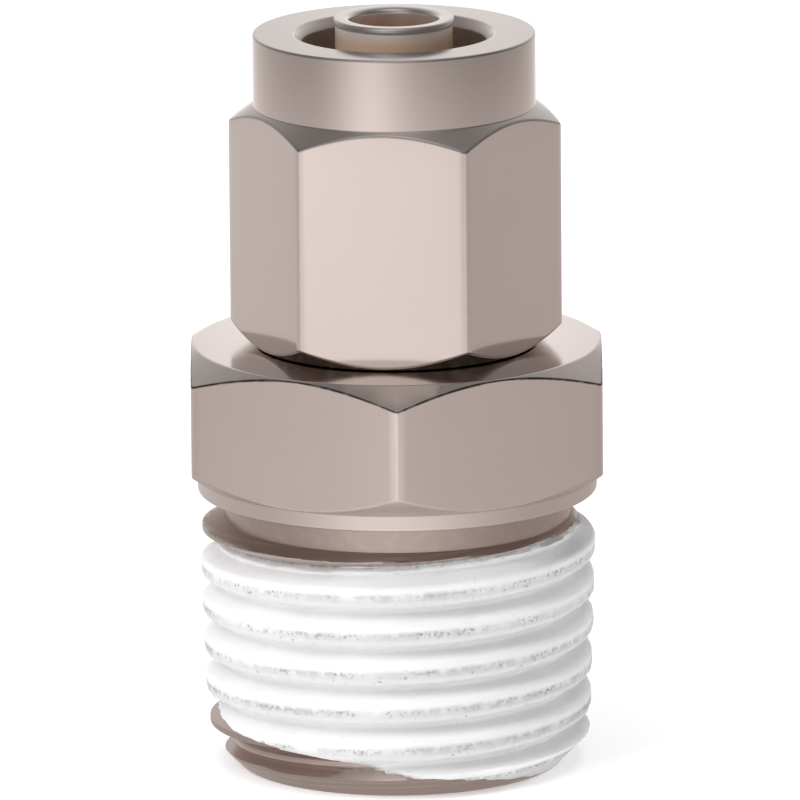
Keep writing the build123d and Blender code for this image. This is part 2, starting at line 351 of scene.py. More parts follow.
def thread_rows(form, pitch, passes, low, high, columns=208):
    """Angles and heights of a thread's grid, and its depth and nearness to an edge at each point.

    At angle a from +X a crest lies at passes + pitch a / 2 pi, and at every pitch from there. The
    heights are held between low and high, and the rows held there have no edge to rub.
    """
    heights, depths, edges = form
    angle = np.linspace(-1.5 * pi, 0.5 * pi, columns + 1)
    climb = pitch * angle / (2 * pi)
    first = floor((low - passes - climb.max()) / pitch)
    last = ceil((high - passes - climb.min()) / pitch)
    turns = np.arange(first, last)[:, None] * pitch
    rows = (turns + heights[:-1]).ravel() + passes
    z = np.clip(rows[:, None] + climb, low, high)
    place = np.mod(z - passes - climb, pitch)
    depth = np.interp(place, heights, depths)
    ends = (z < low + held) | (z > high - held)
    edge = np.where(ends, 0.0, np.interp(place, heights, edges))
    return np.broadcast_to(angle, z.shape), z, depth, edge


def on_thread(angle, r, z):
    """Points of a grid from its angles, radii and heights."""
    return np.stack([r * np.cos(angle), r * np.sin(angle), z], axis=-1)


def pipe_radius(height):
    """Radius of the taper thread's crests at a height: it gains 1 mm for every 32 mm."""
    return pipe_gauge_radius + (height - pipe_gauge_height) * pipe_slope


def pipe_limit(height):
    """The largest radius that the end chamfer and the groove's slanted side leave."""
    end = pipe_radius(0) - end_chamfer + height
    groove = pipe_radius(pipe_length) - groove_depth + (pipe_length - height) / groove_slope
    return np.minimum(end, groove)


print("the taper thread starts", round(2 * pipe_radius(0), 2), "mm wide")

# %% [markdown]
# ## The body
# From below: the end face, the taper thread, the run-out groove, the narrow land that seats on the
# port, the hexagon, and the neck with a finer thread that the nut runs on. Inside are the wide bore
# and the seat that the stem is pressed into.

# %% Taper thread of the body
pipe_form = thread_form(pipe_pitch, pipe_crest_width, pipe_depth, pipe_flank, 0.07)
angle, z, depth, edge = thread_rows(pipe_form, pipe_pitch, pipe_crest_at_x, 0, pipe_length)
groove_radius = pipe_radius(pipe_length) - groove_depth
end_radius = pipe_radius(0) - end_chamfer
bare_thread = np.minimum(pipe_radius(z) - depth, pipe_limit(z))
bare_thread = np.where(z > pipe_length - held, groove_radius, bare_thread)
thread_points = on_thread(angle, bare_thread, z)
under_crests = bare_thread < pipe_radius(z) - depth - 0.005
groove_side = np.where(under_crests & (z > pipe_length / 2), 1.0, 0.0)
print("taper thread grid:", thread_points.shape[:2])

# %% Groove, land and bore
around_thread = angle[0]
wall_start = 0.03
land_top = body_bottom + 0.10
groove_section, groove_edge = softened(np.array([
    (groove_radius, pipe_length),
    (groove_radius, pipe_length + wall_start),
    (groove_radius, land_bottom),
    (land_radius, land_bottom),
    (land_radius, land_top),
    (land_radius - 0.3, land_top),
]), [0.01, 0.12, 0.10, 0.01])
groove_edge = np.where(groove_section[:, 1] < pipe_length + wall_start + 0.02, 0.0, groove_edge)
groove = carried(groove_section, groove_edge, around_thread)
# Painted shade: the groove wall under the land takes the thread's brown and a little of the burr's dark.
groove_painted_shade = np.where(groove[0][..., 2] < land_bottom - 0.02, 1.0, 0.0)
narrow_bottom = stem_seat_bottom - 1.25
drill_point = (port_bore_radius - stem_bore_radius) / tan(radians(59))
bore_section, bore_edge = softened(np.array([
    (stem_seat_radius, neck_top),
    (stem_seat_radius, stem_seat_bottom),
    (stem_bore_radius, stem_seat_bottom),
    (stem_bore_radius, narrow_bottom),
    (port_bore_radius, narrow_bottom - drill_point),
    (port_bore_radius, 0),
    (end_radius, 0),
]), [0.03, 0.03, 0.05, 0.05, 0.06])
bore = carried(bore_section, bore_edge, around_thread)
print("groove wall", round(land_bottom - pipe_length, 2), "mm high")

# %% [markdown]
# The hexagon's skin has seven rows for each softened corner of its section. Two ranges of them
# matter to the finish: the flats, whose corners are rubbed bright, and the arc where the upper cone
# cuts the flats, where a dark burr is left. Its inner rim ends a little inside the neck, so that the
# two don't share points there.

# %% The body's hexagon
bar_angle, bar_radius, bar_edge = hexagonal_bar(
    body_across_flats / 2, body_corner_round, 0.0, body_crown
)
inner_rim = neck_root_radius - 0.03
sections = hexagon_sections(
    bar_radius, body_bottom, body_top, body_end_radius, body_bottom_slope,
    body_end_radius, body_top_slope, [(inner_rim, body_bottom)], [(inner_rim, body_top)],
)
hexagon_section, hexagon_edge = softened(sections, [0.05, 0.07, 0.07, 0.05])
lower_cone_rows = slice(3, 12)
flat_rows = slice(8, 22)
arc_rows = slice(15, 22)
top_rows = slice(25, None)
arc = np.zeros(hexagon_edge.T.shape)
arc[arc_rows] = hexagon_edge.T[arc_rows]
hexagon_edge = hexagon_edge.copy()
hexagon_edge[:, flat_rows] = np.maximum(hexagon_edge[:, flat_rows], bar_edge[:, None])
hexagon = carried(hexagon_section, hexagon_edge, bar_angle)
hexagon_satin = np.zeros(arc.shape)
hexagon_satin[lower_cone_rows] = 1.0
hexagon_satin[top_rows] = 0.22
print("hexagon grid:", arc.shape)

# %% [markdown]
# The neck's thread is finer, and it runs out in a relief at its foot, so that the nut can be
# screwed right down. At the top it is chamfered down to its root.

# %% The neck's thread
neck_columns = 160
neck_full_depth = neck_crest_radius - neck_root_radius
neck_form = thread_form(nut_pitch, nut_crest_width, neck_full_depth, nut_flank, 0.03, 2)
thread_from = body_top + neck_relief
neck_angle, neck_z, neck_depth, neck_edge = thread_rows(
    neck_form, nut_pitch, neck_top - nut_pitch / 2, body_top, neck_top, neck_columns
)
relief = neck_root_radius + np.maximum(neck_z - thread_from, 0) / nut_flank
chamfer = neck_root_radius + (neck_top - neck_z)
neck_r = np.minimum(neck_crest_radius - neck_depth, np.minimum(relief, chamfer))
neck_points = on_thread(neck_angle, np.maximum(neck_r, neck_root_radius), neck_z)
cap_section = np.array([(neck_root_radius, neck_top), (stem_seat_radius, neck_top)])
cap = carried(cap_section, np.zeros(2), neck_angle[0])
body_skins = [
    (thread_points, edge, False),
    (*groove, False),
    (*bore, False),
    (*hexagon, True),
    (neck_points, neck_edge, False),
    (*cap, False),
]
blank = [np.zeros(skin[1].shape) for skin in body_skins]
# On the groove wall the dull and burr values are painted shade in the recess; on the thread and the arc
# they are the metal's own finish.
fitting_body = make_piece(
    "body_of_the_fitting", body_skins, "fitting", "fitting_body", "nickel_plated_body",
    dull=[np.ones(edge.shape), groove_painted_shade, *blank[2:]],
    burr=[blank[0], 0.12 * groove_painted_shade, blank[2], arc, *blank[4:]],
    satin=[groove_side, *blank[1:3], hexagon_satin, *blank[4:]],
)

# %% [markdown]
# ## The sealant coat
# The thread is dipped in or brushed with a white sealant that dries to a thick, slightly lumpy
# coat. It rounds the crests off and nearly fills the valleys, and it ends in a feathered, ragged
# edge under the groove and just above the end face. A separate skin does this best: it lies on the
# bare thread, swells over it where the coat is full, and sinks just under the metal where it ends.

# %% A gentle, repeatable unevenness
coat_radius = 6.6
waves_each = 5


def unevenness(angle, z, lengths, seed):
    """A smooth random field of about unit size on the thread, a sum of waves round and along it.

    Each wave is sin(turns angle + waves z + start), and goes round a whole number of times.
    """
    chance = np.random.default_rng(seed)
    total = np.zeros(np.broadcast(angle, z).shape)
    for length in lengths:
        for _ in range(waves_each):
            turns = round(chance.uniform(0.3, 1.0) * 2 * pi * coat_radius / length)
            waves = chance.normal(0, 1) * 2 * pi / length
            total += np.sin(turns * angle + waves * z + chance.uniform(0, 2 * pi))
    return total / np.sqrt(waves_each * len(lengths))


print(waves_each, "waves for each length")

# %% [markdown]
# The coat's radius goes from a little under the metal to its full height by a share, which falls
# smoothly to nothing over the feathered edge. The edge itself slopes, because the brush was held
# askew, and it is ragged.

# %% Radius of the coat
coat_low = 0.05
coat_high = pipe_length - 0.02
coat_columns = 272
feather = 0.20
sunk = 0.04
lump_height = 0.012
ragged_height = 0.022
coat_depth = (pipe_pitch - coat_crest_width - coat_valley_width) / 2 / pipe_flank
coat_form = thread_form(pipe_pitch, coat_crest_width, coat_depth, pipe_flank, 0.17, 3)
angle, z, depth, edge = thread_rows(
    coat_form, pipe_pitch, pipe_crest_at_x, coat_low, coat_high, coat_columns
)
metal_heights, metal_depths, _ = pipe_form
place = np.mod(z - pipe_crest_at_x - pipe_pitch * angle / (2 * pi), pipe_pitch)
metal = np.minimum(pipe_radius(z) - np.interp(place, metal_heights, metal_depths), pipe_limit(z))
lumps = unevenness(angle, z, (0.5, 0.9, 1.8), 3)
full = pipe_radius(z) + coat_on_crest - depth + lump_height * lumps
full = np.minimum(full, pipe_limit(z) + coat_wall)
sideways = pipe_radius(z) * np.cos(angle)
ragged = ragged_height * unevenness(angle, z * 0, (0.7, 1.6, 4.0), 8)
from_top = coat_top + coat_top_rise * sideways - z + ragged
from_end = z - (coat_end - coat_end_drop * sideways) + ragged
inside = np.minimum(from_top, from_end)
share = np.clip(inside / feather, 0, 1)
share = share * share * (3 - 2 * share)
coat_r = metal + (full - metal) * share - sunk * (1 - share)
print("coat grid:", coat_r.shape)

# %% [markdown]
# Three values go with each point for the finish: how thin the coat is, how close the point lies to
# the rubbed line just under a crest, and how much it faces down, where grey is painted as shade.
# Where the coat has ended, its skin is cut away, and the rest gets a thin wall, so that it is a closed
# piece.

# %% Skin of the coat
above_crest = np.mod(place + pipe_pitch / 2, pipe_pitch) - pipe_pitch / 2
line_place = -0.055
line_width = 0.095
rubbed_line = np.exp(-((above_crest - line_place) / line_width) ** 2)
past_crest = np.clip((-above_crest - 0.02) / 0.12, 0, 1)
before_valley = np.clip((0.62 + above_crest) / 0.14, 0, 1)
sealant = make_piece(
    "sealant_coat", [(on_thread(angle, coat_r, z), edge, False)],
    "fitting", "thread_sealant", "sealant_coat", sharp=80,
    thin=[1 - share], line=[rubbed_line], under=[past_crest * before_valley],
)
work = bmesh.new()
work.from_mesh(sealant.data)
thin_layer = work.verts.layers.float["thin"]
ended = [face for face in work.faces if all(point[thin_layer] > 0.999 for point in face.verts)]
bmesh.ops.delete(work, geom=ended, context="FACES")
work.to_mesh(sealant.data)
work.free()
wall = sealant.modifiers.new("wall", "SOLIDIFY")
wall.thickness = coat_wall * mm
wall.offset = -1
print("coat:", len(sealant.data.polygons), "faces left")

# %% [markdown]
# ## Stem, sleeve and nut
# The stem is a thin barbed tube, and its rolled rim is the bright ring in the nut's mouth. Its
# section is softened more at the rim than elsewhere. The rim is bright, the bore is a little satin,
# and everything under the rim, the straight wall and the hidden barb too, is satin.

# %% Stem
rim = stem_top - 0.22
lower_barb = rim - 2.40
rim_wall = stem_barb_radius - 0.04
stem_section, stem_edge = softened(np.array([
    (stem_bore_radius, neck_top),
    (stem_bore_radius, stem_seat_bottom),
    (stem_seat_radius, stem_seat_bottom),
    (stem_seat_radius, neck_top + 0.35),
    (stem_neck_radius, neck_top + 0.35 + stem_seat_radius - stem_neck_radius),
    (stem_neck_radius, lower_barb - 0.40),
    (stem_barb_radius, lower_barb - 0.40),
    (stem_neck_radius, lower_barb + 0.35),
    (stem_neck_radius, rim - 1.05),
    (rim_wall, rim - 0.85),
    (rim_wall, rim - 0.02),
    (stem_barb_radius, rim + 0.04),
    (stem_barb_radius, stem_top),
    (stem_bore_radius, stem_top),
    (stem_bore_radius, neck_top),
]), [0.02, 0.02, 0.05, 0.05, 0.02, 0.04, 0.05, 0.03, 0.04, 0.02, 0.02, 0.17, 0.22], steps=6)
stem_skin = carried(stem_section, stem_edge, around)
stem_point_radius = np.linalg.norm(stem_skin[0][..., :2], axis=-1)
in_bore = stem_point_radius < stem_bore_radius + 0.005
under_rim = stem_skin[0][..., 2] < rim + 0.03
stem_satin = np.select([in_bore, under_rim], [0.35, 0.9], 0.0)
tube_stem = make_piece(
    "barbed_stem", [(*stem_skin, True)], "fitting", "tube_stem", "stem_metal", satin=[stem_satin],
)

# %% [markdown]
# The sleeve is hidden in the nut, whose cone closes it on the tube. It is a thin ring with a rim at
# its foot and a bevelled nose.

# %% Sleeve
sleeve_bore = 3.05
sleeve_outside = 3.55
sleeve_rim = 3.85
sleeve_nose = 3.17
sleeve_rim_top = sleeve_foot + 0.45
sleeve_start = sleeve_foot + 0.8
sleeve_section, sleeve_edge = softened(np.array([
    (sleeve_bore, sleeve_start),
    (sleeve_bore, sleeve_foot),
    (sleeve_rim, sleeve_foot),
    (sleeve_rim, sleeve_rim_top),
    (sleeve_outside, sleeve_rim_top),
    (sleeve_outside, bevel_bottom),
    (sleeve_nose, bevel_top),
    (sleeve_bore, bevel_top),
    (sleeve_bore, sleeve_start),
]), 0.04)
clamp_sleeve = make_piece(
    "clamping_sleeve", [(*carried(sleeve_section, sleeve_edge, around), True)],
    "sleeve", "clamp_sleeve", "sleeve_plastic",
)

# %% [markdown]
# The nut is a hexagon with a round collar, bored through. Its section closes on itself: the
# chamfered foot, the flats, the collar, the mouth, the cone that presses on the sleeve, and the
# space for the sleeve's rim.

# %% Outside and bore of the nut
nut_lead = nut_bottom + 0.30
sleeve_space = sleeve_foot + 0.50
cone_radius = 3.60
nut_angle, nut_radius, nut_edge = hexagonal_bar(
    nut_flat_radius, nut_corner_round, nut_turned, nut_crown
)
sections = hexagon_sections(
    nut_radius, nut_bottom, collar_bottom, nut_foot_radius, nut_foot_slope,
    collar_radius, nut_top_slope,
    [
        (nut_root_radius, nut_bottom + 0.6), (nut_root_radius, nut_lead),
        (nut_root_radius + 0.30, nut_bottom),
    ],
    [
        (collar_radius, nut_top), (tube_guide_radius + tube_mouth, nut_top),
        (tube_guide_radius, nut_top - tube_mouth), (tube_guide_radius, cone_top),
        (cone_radius, cone_bottom), (cone_radius, sleeve_space),
        (nut_root_radius, sleeve_space), (nut_root_radius, neck_top),
    ],
)
nut_widths = [0.04, 0.04, 0.05, 0.06, 0.07, 0.03, 0.08, 0.05, 0.05, 0.03, 0.03, 0.03, 0.03]
nut_section, section_edge = softened(sections, nut_widths, steps=5)
nut_points, section_edge = carried(nut_section, section_edge, nut_angle)
nut_point_radius = np.linalg.norm(nut_points[..., :2], axis=-1)
on_hexagon = (nut_points[..., 2] < collar_bottom - 0.05) & (nut_point_radius > 4.6)
nut_skin_edge = np.maximum(section_edge, np.where(on_hexagon, nut_edge, 0.0))
nut_inside = np.where(nut_point_radius < tube_guide_radius + 0.06, 1.0, 0.0)
# Painted shade: the nut's foot chamfer is darkened with the burr colour, as shade in the crevice over the
# body's top.
foot_cone_rows = slice(20, 28)
nut_foot_painted_shade = np.zeros(nut_inside.shape)
nut_foot_painted_shade[foot_cone_rows] = 0.45
print("nut grid:", nut_inside.shape)

# %% [markdown]
# The thread in the nut is the neck's thread turned inside out, with the same helix and a small
# clearance, so the two stay in mesh as the nut climbs. Its lower end opens in a lead, so that the
# nut starts easily.

# %% The nut's thread, and the nut
inner_form = thread_form(nut_pitch, nut_crest_width, nut_depth, nut_flank, 0.03, 2)
inner_angle, inner_z, inner_depth, inner_edge = thread_rows(
    inner_form, nut_pitch, neck_top, nut_lead, neck_top, neck_columns
)
lead = nut_root_radius - np.maximum(inner_z - nut_lead, 0)
inner_r = np.maximum(nut_crest_radius + inner_depth, np.maximum(lead, nut_crest_radius))
inner_ends = (inner_z > neck_top - held) | (inner_z < nut_lead + held)
inner_r = np.where(inner_ends, nut_root_radius, inner_r)
inner_points = on_thread(inner_angle, inner_r, inner_z)[::-1]
all_inner = np.ones(inner_edge.shape)
union_nut = make_piece(
    "union_nut_skin",
    [(nut_points, nut_skin_edge, True), (inner_points, inner_edge[::-1], False)],
    "nut", "union_nut", "nickel_plated_nut",
    satin=[nut_inside, all_inner], dull=[0.5 * nut_inside, all_inner], burr=[nut_foot_painted_shade, 0 * all_inner],
)

# %% [markdown]
# ## Finishes
# Nothing here is painted with an image: every finish is worked out from where a point lies and from
# the values kept on the pieces. Machined and plated metal shares two effects. Its surface has a
# faint grain left by the tool and the polishing, and its edges are rubbed brighter than its faces.
# Each effect is a node group, built once and placed in every metal with its own numbers.

# %% Helpers for node trees
def put(tree, kind, inputs=None, **settings):
    """A new node with its settings, and a number or another node's output on each named input."""
    node = tree.nodes.new(kind)
    for key, value in settings.items():
        setattr(node, key, value)
    for key, value in (inputs or {}).items():
        if isinstance(value, bpy.types.NodeSocket):
            tree.links.new(value, node.inputs[key])
        else:
            node.inputs[key].default_value = value
    return node


def new_group(name, inputs, outputs):
    """An empty node group with named inputs, (type, value) each, and named outputs."""
    group = bpy.data.node_groups.new(name, "ShaderNodeTree")
    for socket, (kind, value) in inputs.items():
        made = group.interface.new_socket(name=socket, in_out="INPUT", socket_type=kind)
        if value is not None:
            made.default_value = value
    for socket, kind in outputs.items():
        group.interface.new_socket(name=socket, in_out="OUTPUT", socket_type=kind)
    return group, group.nodes.new("NodeGroupInput").outputs, group.nodes.new("NodeGroupOutput").inputs


def maths(tree, operation, first, second=0.5):
    """The output of one sum, product or other operation on two numbers or outputs."""
    return put(tree, "ShaderNodeMath", {0: first, 1: second}, operation=operation).outputs[0]


def times(tree, first, second):
    """The product of two numbers or outputs."""
    return maths(tree, "MULTIPLY", first, second)


def plus(tree, first, second):
    """The sum of two numbers or outputs."""
    return maths(tree, "ADD", first, second)


def kept(tree, name):
    """A value that a piece keeps on its points."""
    return put(tree, "ShaderNodeAttribute", attribute_name=name).outputs["Fac"]

# %% [markdown]
# A few more helpers say the common steps in one line: carry a value to another range, add noise,
# mix two colours, start a material, and place a node group in it.

# %% Ranges, noise, colours and materials
def spread(tree, value, low, high, to_low=0.0, to_high=1.0):
    """A value carried from one range to another and held inside it."""
    inputs = {"Value": value, "From Min": low, "From Max": high, "To Min": to_low, "To Max": to_high}
    return put(tree, "ShaderNodeMapRange", inputs).outputs[0]


def noise(tree, place, scale, detail=2.0):
    """Smooth noise of about 0.3 to 0.7 at a place, with so many grains to the metre."""
    inputs = {"Vector": place, "Scale": scale, "Detail": detail}
    return put(tree, "ShaderNodeTexNoise", inputs).outputs[0]


def blend(tree, share, first, second, how="MIX"):
    """One colour carried towards another by a share."""
    node = put(tree, "ShaderNodeMix", data_type="RGBA", blend_type=how)
    for index, value in ((0, share), (6, first), (7, second)):
        if isinstance(value, bpy.types.NodeSocket):
            tree.links.new(value, node.inputs[index])
        else:
            node.inputs[index].default_value = value if index == 0 else (*value, 1)
    return node.outputs[2]


def new_material(name):
    """A new material, with its node tree, its shader, and where a point lies on the piece."""
    material = bpy.data.materials.new(name)
    material.use_nodes = True
    tree = material.node_tree
    place = put(tree, "ShaderNodeTexCoord").outputs["Object"]
    return material, tree, tree.nodes["Principled BSDF"], place


def bumped(tree, shader, height, distance):
    """Ripples on a shader's normal, from a height that is worth so many millimetres."""
    inputs = {"Height": height, "Distance": distance * mm, "Strength": 0.5}
    tree.links.new(put(tree, "ShaderNodeBump", inputs).outputs[0], shader.inputs["Normal"])


def filled(tree, group, inputs):
    """The outputs of a node group placed in a tree, by name, with its inputs filled in."""
    return put(tree, "ShaderNodeGroup", inputs, node_tree=group).outputs


# %% [markdown]
# Turning leaves fine rings and polishing leaves specks. Both are noise here: the rings read only
# the height, with a slight tilt, and the specks read the whole place. The group gives a tone, a
# roughness and a height, and each metal decides how much of them it takes.

# %% Grain that turning and polishing leave
grain, given, wanted = new_group(
    "turned_grain",
    {
        "Position": ("NodeSocketVector", None),
        "Grains per metre": ("NodeSocketFloat", 9000.0),
        "Rings per metre": ("NodeSocketFloat", 9000.0),
    },
    {"Tone": "NodeSocketFloat", "Roughness": "NodeSocketFloat", "Height": "NodeSocketFloat"},
)
along = put(grain, "ShaderNodeSeparateXYZ", {0: given["Position"]}).outputs[2]
tilt = times(grain, noise(grain, given["Position"], 250.0), 0.02 * mm)
lifted = plus(grain, along, tilt)
ring_place = put(grain, "ShaderNodeCombineXYZ", {2: lifted}).outputs[0]
rings = noise(grain, ring_place, given["Rings per metre"], 3.0)
specks = noise(grain, given["Position"], given["Grains per metre"], 3.0)
clouds = noise(grain, given["Position"], 330.0, 2.0)
tone = plus(grain, times(grain, rings, 0.35), times(grain, specks, 0.25))
tone = plus(grain, tone, times(grain, clouds, 0.40))
grain_rough = plus(grain, times(grain, specks, 0.5), times(grain, clouds, 0.5))
grain_height = plus(grain, times(grain, rings, 0.7), times(grain, specks, 0.3))
grain.links.new(tone, wanted["Tone"])
grain.links.new(grain_rough, wanted["Roughness"])
grain.links.new(grain_height, wanted["Height"])
print("turned_grain has", len(grain.nodes), "nodes")

# %% [markdown]
# Edges are rubbed bright where they touch things, and never evenly. The group takes how close a
# point lies to an edge, as kept on the piece, and breaks it up with patches of noise.

# %% Edges rubbed bright
rubbed, given, wanted = new_group(
    "rubbed_edges",
    {
        "Position": ("NodeSocketVector", None),
        "Edge": ("NodeSocketFloat", 0.0),
        "Amount": ("NodeSocketFloat", 0.6),
    },
    {"Mask": "NodeSocketFloat"},
)
blotches = spread(rubbed, noise(rubbed, given["Position"], 1600.0, 3.0), 0.38, 0.62, 0.35, 1.0)
wear_share = times(rubbed, given["Edge"], given["Amount"])
rubbed.links.new(times(rubbed, wear_share, blotches), wanted["Mask"])
print("rubbed_edges has", len(rubbed.nodes), "nodes")

# %% [markdown]
# Nickel plating is a warm grey. On the flats it is satin, on the bare thread it is thinner and
# browner, and where the turned cones cut the flats a burr has worn through to a thin dark line. The
# same brown and dark are also laid as painted shade: in the groove under the land, and on the nut's
# foot chamfer over the body. The pieces keep a value for each of these, so the finish knows where it is.

# %% Plated metal
thread_brown_and_shade = (0.56, 0.48, 0.44)
edge_bright = (0.95, 0.92, 0.88)
burr_dark = (0.075, 0.045, 0.035)
bore_brass = (0.93, 0.70, 0.53)
brass_from = stem_top - 0.28
brass_full = stem_top - 0.60
tone_range = 0.035


def plated_metal(name, colour, roughness, edge_amount, rings, extra=None, soft=0.0):
    """A satin plated finish with grain, rubbed edges, a browner thread, a dark burr line, and painted
    shade in recesses.

    Roughness is its own figure + 0.14 where the brown is laid + 0.28 satin - 0.08 where an edge is
    rubbed, and the metal share is 1 - soft times satin.
    """
    material, tree, shader, place = new_material(name)
    marks = filled(tree, grain, {"Position": place, "Rings per metre": rings})
    wear = {"Position": place, "Edge": kept(tree, "edge"), "Amount": edge_amount}
    wear = filled(tree, rubbed, wear)["Mask"]
    dull = kept(tree, "dull")
    burr = kept(tree, "burr")
    satin = kept(tree, "satin")
    tone = spread(tree, marks["Tone"], 0.35, 0.65, 1 - tone_range / 2, 1 + tone_range / 2)
    tone_colour = put(tree, "ShaderNodeCombineColor", {0: tone, 1: tone, 2: tone}).outputs[0]
    # The thread's brown is the bare thread's own colour, and painted shade on the groove wall.
    base = blend(tree, dull, colour, thread_brown_and_shade)
    if extra:
        base = extra(tree, place, base)
    base = blend(tree, 1.0, base, tone_colour, "MULTIPLY")
    base = blend(tree, wear, base, edge_bright)
    broken = spread(tree, noise(tree, place, 2600.0, 3.0), 0.34, 0.52, 0.45, 1.0)
    # The burr's dark is a real burr line on the body's arc, and painted shade in the groove and on the
    # nut's foot.
    base = blend(tree, times(tree, burr, broken), base, burr_dark)
    tree.links.new(base, shader.inputs["Base Color"])
    rough = spread(tree, marks["Roughness"], 0.35, 0.65, roughness - 0.02, roughness + 0.02)
    rough = plus(tree, rough, times(tree, dull, 0.14))
    rough = plus(tree, rough, times(tree, satin, 0.28))
    rough = maths(tree, "SUBTRACT", rough, times(tree, wear, 0.08))
    tree.links.new(rough, shader.inputs["Roughness"])
    metal_share = maths(tree, "SUBTRACT", 1.0, times(tree, satin, soft))
    tree.links.new(metal_share, shader.inputs["Metallic"])
    bumped(tree, shader, marks["Height"], 0.0004)
    print(name, "has", len(tree.nodes), "nodes")
    return material


def brass_below(tree, place, base):
    """A warmer, brassy tone from the rim down into the bore and behind the rim."""
    height = put(tree, "ShaderNodeSeparateXYZ", {0: place}).outputs[2]
    share = spread(tree, height, brass_from * mm, brass_full * mm)
    return blend(tree, share, base, bore_brass)


body_metal = plated_metal("satin_nickel_body", (0.74, 0.675, 0.642), 0.10, edge_amount=0.30, rings=7000.0)
nut_metal = plated_metal("satin_nickel_nut", (0.75, 0.685, 0.652), 0.11, edge_amount=0.30, rings=9000.0)
stem_metal = plated_metal(
    "bright_stem", (0.86, 0.83, 0.80), 0.09, edge_amount=0.4, rings=15000.0,
    extra=brass_below, soft=0.5,
)
fitting_body.data.materials.append(body_metal)
union_nut.data.materials.append(nut_metal)
tube_stem.data.materials.append(stem_metal)

# %% [markdown]
# The sealant is a white paste that has dried. It is matt and slightly lumpy. Just under each crest it
# was rubbed thin, so a broken grey line of metal shows there. The side that faces down is painted
# greyer as shade, and carries more grey specks than the side that faces up.

# %% Sealant
paste_white = (0.93, 0.93, 0.935)
paste_clouded = (0.89, 0.892, 0.90)
paste_shaded = (0.70, 0.70, 0.71)
line_grey = (0.32, 0.315, 0.31)
spot_grey = (0.24, 0.23, 0.22)


def sealant_finish():
    """White paste: tone and bump from noise, grey where a crest is rubbed or the coat ends, and painted
    shade on the side that faces down.
    """
    material, tree, shader, place = new_material("white_sealant")
    line = kept(tree, "line")
    under = kept(tree, "under")
    thin = kept(tree, "thin")
    grit = noise(tree, place, 7500.0, 4.0)
    lumps = noise(tree, place, 2200.0, 3.0)
    clouds = noise(tree, place, 420.0, 2.0)
    patchy = spread(tree, noise(tree, place, 700.0, 2.0), 0.42, 0.62)
    faded = spread(tree, noise(tree, place, 230.0, 2.0), 0.40, 0.60, 0.45, 1.0)
    streak = times(tree, line, spread(tree, lumps, 0.38, 0.54, 0.35, 0.9))
    streak = times(tree, streak, faded)
    on_line = times(tree, spread(tree, grit, 0.50, 0.59), spread(tree, line, 0.25, 0.7))
    on_line = times(tree, on_line, patchy)
    strewn = spread(tree, plus(tree, grit, times(tree, lumps, 0.5)), 0.93, 0.99)
    strewn = times(tree, strewn, spread(tree, under, 0.0, 0.8, 0.15, 0.8))
    at_end = times(tree, spread(tree, thin, 0.45, 1.0, 0.0, 0.5), spread(tree, grit, 0.50, 0.60))
    spots = maths(tree, "MAXIMUM", maths(tree, "MAXIMUM", on_line, strewn), at_end)
    pale = blend(tree, spread(tree, clouds, 0.35, 0.65), paste_white, paste_clouded)
    # Painted shade: grey laid on the side of each crest that faces down.
    pale = blend(tree, times(tree, under, 0.75), pale, paste_shaded)
    pale = blend(tree, times(tree, streak, 0.95), pale, line_grey)
    base = blend(tree, times(tree, spots, 0.85), pale, spot_grey)
    tree.links.new(base, shader.inputs["Base Color"])
    tree.links.new(spread(tree, grit, 0.3, 0.7, 0.48, 0.68), shader.inputs["Roughness"])
    bumped(tree, shader, plus(tree, times(tree, grit, 0.5), lumps), 0.05)
    print("white_sealant has", len(tree.nodes), "nodes")
    return material


sealant.data.materials.append(sealant_finish())

# %% [markdown]
# The sleeve is turned from acetal, a hard off-white plastic. It takes the same grain as the metal,
# as two near tones and a faint bump.

# %% Sleeve plastic
acetal_low = (0.78, 0.77, 0.72)
acetal_high = (0.84, 0.83, 0.79)


def acetal():
    """Off-white acetal with faint turning rings."""
    material, tree, shader, place = new_material("sleeve_acetal")
    marks = filled(tree, grain, {"Position": place})
    base = blend(tree, spread(tree, marks["Tone"], 0.35, 0.65), acetal_low, acetal_high)
    tree.links.new(base, shader.inputs["Base Color"])
    rough = spread(tree, marks["Roughness"], 0.35, 0.65, 0.38, 0.50)
    tree.links.new(rough, shader.inputs["Roughness"])
    bumped(tree, shader, marks["Height"], 0.003)
    print("sleeve_acetal has", len(tree.nodes), "nodes")
    return material


clamp_sleeve.data.materials.append(acetal())

# %% [markdown]
# ## The studio
# A small camera stands a little above, as one would look down at a fitting on a table. The lens is
# long, so the sides stay nearly parallel.

# %% Camera
view_width = 27.027027 * mm
film_width = 36
distance = 0.5807
rise = radians(12.9)
lean = radians(-0.45)
aim_x = 0.11 * mm
aim_z = 12.416 * mm
camera_data = bpy.data.cameras.new("camera")
camera_data.sensor_width = film_width
camera_data.lens = distance / view_width * film_width
camera_data.clip_end = 10
camera = placed("camera", camera_data)
camera.matrix_world = (
    Matrix.Translation((aim_x, -distance * cos(rise), aim_z + distance * sin(rise)))
    @ Matrix.Rotation(pi / 2 - rise, 4, "X")
    @ Matrix.Rotation(lean, 4, "Z")
)
bpy.context.scene.camera = camera
print("lens", round(camera_data.lens), "mm at", round(distance, 3), "m")

# %% [markdown]
# ## Light
# Metal shows what stands round it, so a small fitting is shown best inside a tent of pale cloth:
# a bright window a little to the left of the camera, dimmer cloth at the sides, and a dark gap
# above. Here the tent is a sphere that only reflections can see, and its brightness is a sum of
# soft patches. It is small, because near cloth is what makes the tone change across a flat.

